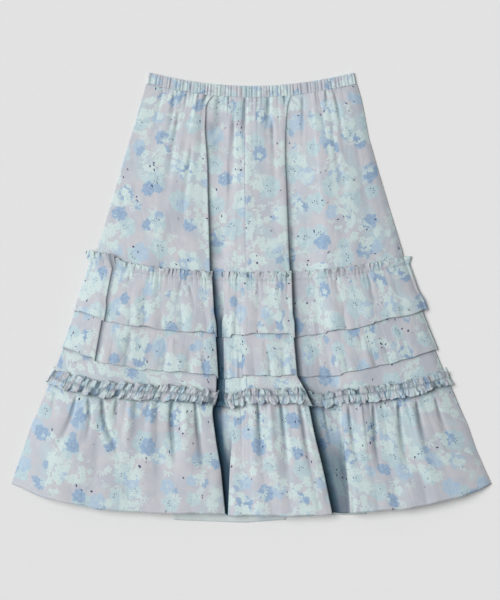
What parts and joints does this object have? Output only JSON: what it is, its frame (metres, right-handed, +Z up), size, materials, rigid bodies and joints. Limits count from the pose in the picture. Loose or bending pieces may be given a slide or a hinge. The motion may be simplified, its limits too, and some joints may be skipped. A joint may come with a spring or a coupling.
{
  "type": "tiered ruffle skirt",
  "caption": "Flat-laid pull-on skirt with an elasticated waist, an A-line body, two ruffle tiers, a ruched frill and a gathered hem flounce.",
  "frame": {"origin": "on the surface that the skirt lies on, under the middle of its bounding box", "axes": "+X to the right across the laid-out skirt, +Y from the hem to the waist, +Z up from the surface"},
  "size_m": [0.7946, 0.7464, 0.0259],
  "materials": {
    "printed_cotton": "matt, light plain-weave cotton with a pale blue and mint floral print",
    "elastic_casing": "matt, the same print gathered over elastic"
  },
  "bodies": {
    "root": {"waistband": "elastic_casing", "body_front_left": "printed_cotton", "body_front_right": "printed_cotton", "ruffle_upper_front": "printed_cotton", "ruffle_lower_front": "printed_cotton", "frill_front": "printed_cotton", "flounce_front": "printed_cotton", "body_back": "printed_cotton", "ruffle_upper_back": "printed_cotton", "ruffle_lower_back": "printed_cotton", "frill_back": "printed_cotton", "flounce_back": "printed_cotton"}
  },
  "joints": []
}
